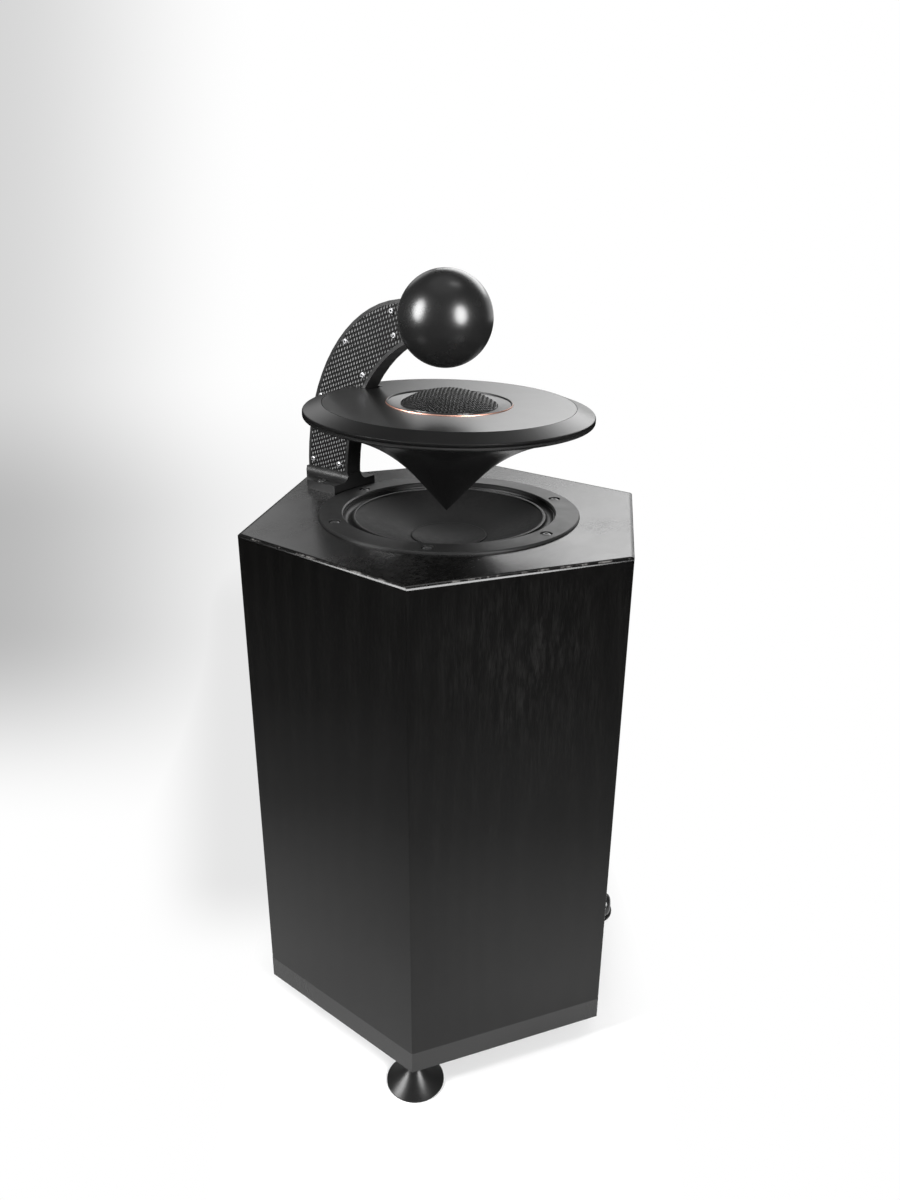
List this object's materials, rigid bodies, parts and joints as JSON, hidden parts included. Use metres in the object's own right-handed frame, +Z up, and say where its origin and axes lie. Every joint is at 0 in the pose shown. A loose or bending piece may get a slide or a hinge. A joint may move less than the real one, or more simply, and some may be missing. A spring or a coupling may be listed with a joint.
{
  "type": "omnidirectional loudspeaker",
  "caption": "Hexagonal floor cabinet with an upward woofer, a cone-shaped reflector carrying a tweeter on a curved arm, and a ball above it, spreading sound all round.",
  "frame": {"origin": "on the floor, under the common axis of the woofer and the cabinet", "axes": "+Z up, +Y towards the cabinet corner that carries the arm, +X to the right when seen from -Y, where a corner of the cabinet faces the viewer"},
  "size_m": [0.3348, 0.3675, 0.6641],
  "materials": {
    "veneer": "black-stained veneer, satin lacquer",
    "raw_board": "plain board",
    "felt": "grey damping felt",
    "brass": "bright turned brass",
    "black_aluminium": "satin black",
    "steel": "bright steel",
    "black_steel": "black oxide",
    "basket": "satin black paint",
    "ferrite": "bare sintered ferrite",
    "cone": "satin black moulding",
    "copper": "copper",
    "spider_cloth": "stiffened cloth",
    "rubber": "soft black rubber",
    "carbon": "clear-coated woven fibre",
    "ball_paint": "smooth satin black",
    "reflector_paint": "satin black",
    "faceplate": "fine satin black",
    "cover_ring": "dark satin",
    "mesh": "black wire mesh",
    "dome_cloth": "coated silk",
    "knob_red": "gloss",
    "knob_black": "gloss",
    "board": "solder mask",
    "film": "wrapped film"
  },
  "bodies": {
    "cabinet": {"side_panel_1": "veneer", "side_panel_2": "veneer", "side_panel_3": "veneer", "side_panel_4": "veneer", "side_panel_5": "veneer", "side_panel_6": "veneer", "top_panel": "veneer", "bottom_panel": "veneer", "brace_ring": "raw_board", "damping_felt": "felt", "foot_inserts": "brass", "woofer_frame": "basket", "woofer_front_plate": "steel", "woofer_magnet": "ferrite", "woofer_pole": "steel", "woofer_spider": "spider_cloth", "woofer_surround": "rubber", "woofer_screws": "black_steel", "arm_core": "black_aluminium", "arm_plate_left": "carbon", "arm_plate_right": "carbon", "arm_plate_screws": "steel", "arm_base_screws": "black_steel", "ball": "ball_paint", "ball_stud": "black_aluminium", "tweeter_lead": "rubber", "reflector_body": "reflector_paint", "reflector_top": "reflector_paint", "reflector_screws": "steel", "tweeter_faceplate": "faceplate", "tweeter_cover_ring": "cover_ring", "tweeter_copper_ring": "copper", "tweeter_grille": "mesh", "tweeter_surround": "rubber", "tweeter_front_plate": "steel", "tweeter_magnet": "ferrite", "tweeter_cup": "steel", "tweeter_screws": "black_steel", "terminal_plate": "faceplate", "terminal_screws": "black_steel", "binding_posts": "brass", "post_nuts": "brass", "crossover_board": "board", "crossover_coils": "copper", "crossover_capacitors": "film"},
    "woofer_cone": {"woofer_cone": "cone", "woofer_dust_cap": "cone", "woofer_voice_coil": "copper"},
    "tweeter_dome": {"tweeter_dome": "dome_cloth", "tweeter_voice_coil": "copper"},
    "washer_red": {"clamp_washer_red": "brass"},
    "knob_red": {"knob_red": "knob_red"},
    "washer_black": {"clamp_washer_black": "brass"},
    "knob_black": {"knob_black": "knob_black"},
    "stud_1": {"foot_stud_1": "steel"},
    "foot_1": {"foot_1": "black_aluminium"},
    "stud_2": {"foot_stud_2": "steel"},
    "foot_2": {"foot_2": "black_aluminium"},
    "stud_3": {"foot_stud_3": "steel"},
    "foot_3": {"foot_3": "black_aluminium"}
  },
  "joints": [
    {"name": "woofer_travel", "type": "slide", "parent": "cabinet", "child": "woofer_cone", "axis": [0, 0, 1], "range_m": [-0.004, 0.004], "stiffness_N_per_m": 1500, "deforming": ["woofer_surround", "woofer_spider"]},
    {"name": "tweeter_travel", "type": "slide", "parent": "cabinet", "child": "tweeter_dome", "axis": [0, -0.0297, 0.9996], "range_m": [-0.0003, 0.0003], "stiffness_N_per_m": 1000, "deforming": ["tweeter_surround"]},
    {"name": "clamp_travel_red", "type": "slide", "parent": "cabinet", "child": "washer_red", "axis": [0.5, 0.866, 0], "range_m": [0, 0.0025]},
    {"name": "knob_turn_red", "type": "hinge", "parent": "washer_red", "child": "knob_red", "pos_m": [0.0913, 0.13914, 0.101], "axis": [0.5, 0.866, 0], "range_deg": [0, 900]},
    {"name": "clamp_travel_black", "type": "slide", "parent": "cabinet", "child": "washer_black", "axis": [0.5, 0.866, 0], "range_m": [0, 0.0025]},
    {"name": "knob_turn_black", "type": "hinge", "parent": "washer_black", "child": "knob_black", "pos_m": [0.07485, 0.14864, 0.101], "axis": [0.5, 0.866, 0], "range_deg": [0, 900]},
    {"name": "foot_travel_1", "type": "slide", "parent": "cabinet", "child": "stud_1", "axis": [0, 0, -1], "range_m": [0, 0.0025]},
    {"name": "foot_turn_1", "type": "hinge", "parent": "stud_1", "child": "foot_1", "pos_m": [0, 0.1647, 0], "axis": [0, 0, -1], "range_deg": [0, 720]},
    {"name": "foot_travel_2", "type": "slide", "parent": "cabinet", "child": "stud_2", "axis": [0, 0, -1], "range_m": [0, 0.0025]},
    {"name": "foot_turn_2", "type": "hinge", "parent": "stud_2", "child": "foot_2", "pos_m": [-0.14263, -0.08235, 0], "axis": [0, 0, -1], "range_deg": [0, 720]},
    {"name": "foot_travel_3", "type": "slide", "parent": "cabinet", "child": "stud_3", "axis": [0, 0, -1], "range_m": [0, 0.0025]},
    {"name": "foot_turn_3", "type": "hinge", "parent": "stud_3", "child": "foot_3", "pos_m": [0.14263, -0.08235, 0], "axis": [0, 0, -1], "range_deg": [0, 720]}
  ],
  "couplings": [
    {"joint": "knob_turn_red", "follows": "clamp_travel_red", "rad_per_m": 6283.2},
    {"joint": "knob_turn_black", "follows": "clamp_travel_black", "rad_per_m": 6283.2},
    {"joint": "foot_turn_1", "follows": "foot_travel_1", "rad_per_m": 5026.5},
    {"joint": "foot_turn_2", "follows": "foot_travel_2", "rad_per_m": 5026.5},
    {"joint": "foot_turn_3", "follows": "foot_travel_3", "rad_per_m": 5026.5}
  ]
}
